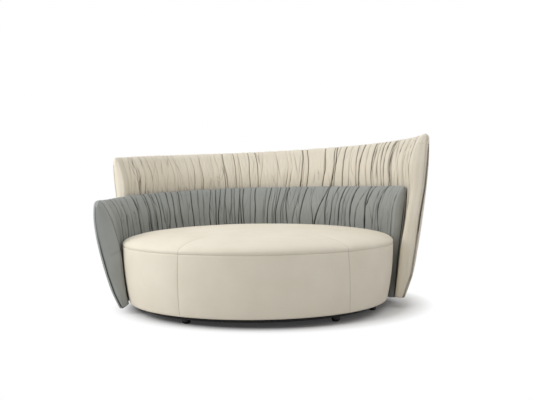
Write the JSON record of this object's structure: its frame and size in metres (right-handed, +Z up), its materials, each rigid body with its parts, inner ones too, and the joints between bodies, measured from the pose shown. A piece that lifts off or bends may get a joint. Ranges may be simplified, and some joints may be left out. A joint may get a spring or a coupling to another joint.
{
  "type": "round sofa",
  "caption": "Round upholstered sofa: a drum seat on short feet inside a low and a high gathered back that wrap round it and turn about its centre.",
  "frame": {"origin": "on the floor under the centre foot, on the upright axis that both backs turn about", "axes": "+Z up; the open front faces -Y; +X to the sitter's left, which is the picture's right"},
  "size_m": [1.8226, 1.6919, 0.9476],
  "materials": {
    "cream_leather": "smooth semi-matt upholstery leather, warm off-white",
    "grey_leather": "smooth semi-matt upholstery leather, mid grey",
    "plywood": "bare birch plywood",
    "black_board": "black stained board",
    "black_steel": "satin black powder coat",
    "zinc_steel": "zinc plated",
    "foam": "open-cell foam",
    "black_plastic": "matt black moulded glide",
    "pale_plastic": "natural low-friction plastic"
  },
  "bodies": {
    "base": {"seat_cushion": "cream_leather", "side_band": "cream_leather", "seat_foam": "foam", "deck_board": "plywood", "drum_wall": "plywood", "rib_1": "plywood", "rib_2": "plywood", "rib_3": "plywood", "rib_4": "plywood", "rib_5": "plywood", "base_board": "black_board", "centre_foot": "black_plastic", "foot_1": "black_plastic", "foot_2": "black_plastic", "foot_3": "black_plastic", "foot_4": "black_plastic", "foot_5": "black_plastic", "foot_6": "black_plastic", "foot_bolt_1": "zinc_steel", "foot_bolt_2": "zinc_steel", "foot_bolt_3": "zinc_steel", "foot_bolt_4": "zinc_steel", "foot_bolt_5": "zinc_steel", "foot_bolt_6": "zinc_steel", "post_1": "black_steel", "post_2": "black_steel", "post_3": "black_steel", "post_4": "black_steel", "column": "black_steel", "lower_washer": "pale_plastic", "middle_washer": "pale_plastic", "retaining_collar": "zinc_steel"},
    "inner_back": {"inner_back_pad": "grey_leather", "inner_back_shell": "plywood", "inner_back_rear_cover": "grey_leather", "inner_back_left_end": "grey_leather", "inner_back_right_end": "grey_leather", "inner_back_hub": "black_steel", "inner_back_bush": "pale_plastic", "inner_back_left_arm": "black_steel", "inner_back_right_arm": "black_steel", "inner_back_left_bolt_1": "zinc_steel", "inner_back_left_bolt_2": "zinc_steel", "inner_back_right_bolt_1": "zinc_steel", "inner_back_right_bolt_2": "zinc_steel"},
    "outer_back": {"outer_back_pad": "cream_leather", "outer_back_shell": "plywood", "outer_back_rear_cover": "cream_leather", "outer_back_left_end": "cream_leather", "outer_back_right_end": "cream_leather", "outer_back_hub": "black_steel", "outer_back_bush": "pale_plastic", "outer_back_left_arm": "black_steel", "outer_back_right_arm": "black_steel", "outer_back_left_bolt_1": "zinc_steel", "outer_back_left_bolt_2": "zinc_steel", "outer_back_right_bolt_1": "zinc_steel", "outer_back_right_bolt_2": "zinc_steel"}
  },
  "joints": [
    {"name": "inner_back_turn", "type": "hinge", "parent": "base", "child": "inner_back", "pos_m": [0, 0, 0.09], "axis": [0, 0, 1], "range_deg": [0, 40]},
    {"name": "outer_back_turn", "type": "hinge", "parent": "base", "child": "outer_back", "pos_m": [0, 0, 0.06], "axis": [0, 0, 1], "range_deg": [-40, 0]}
  ]
}
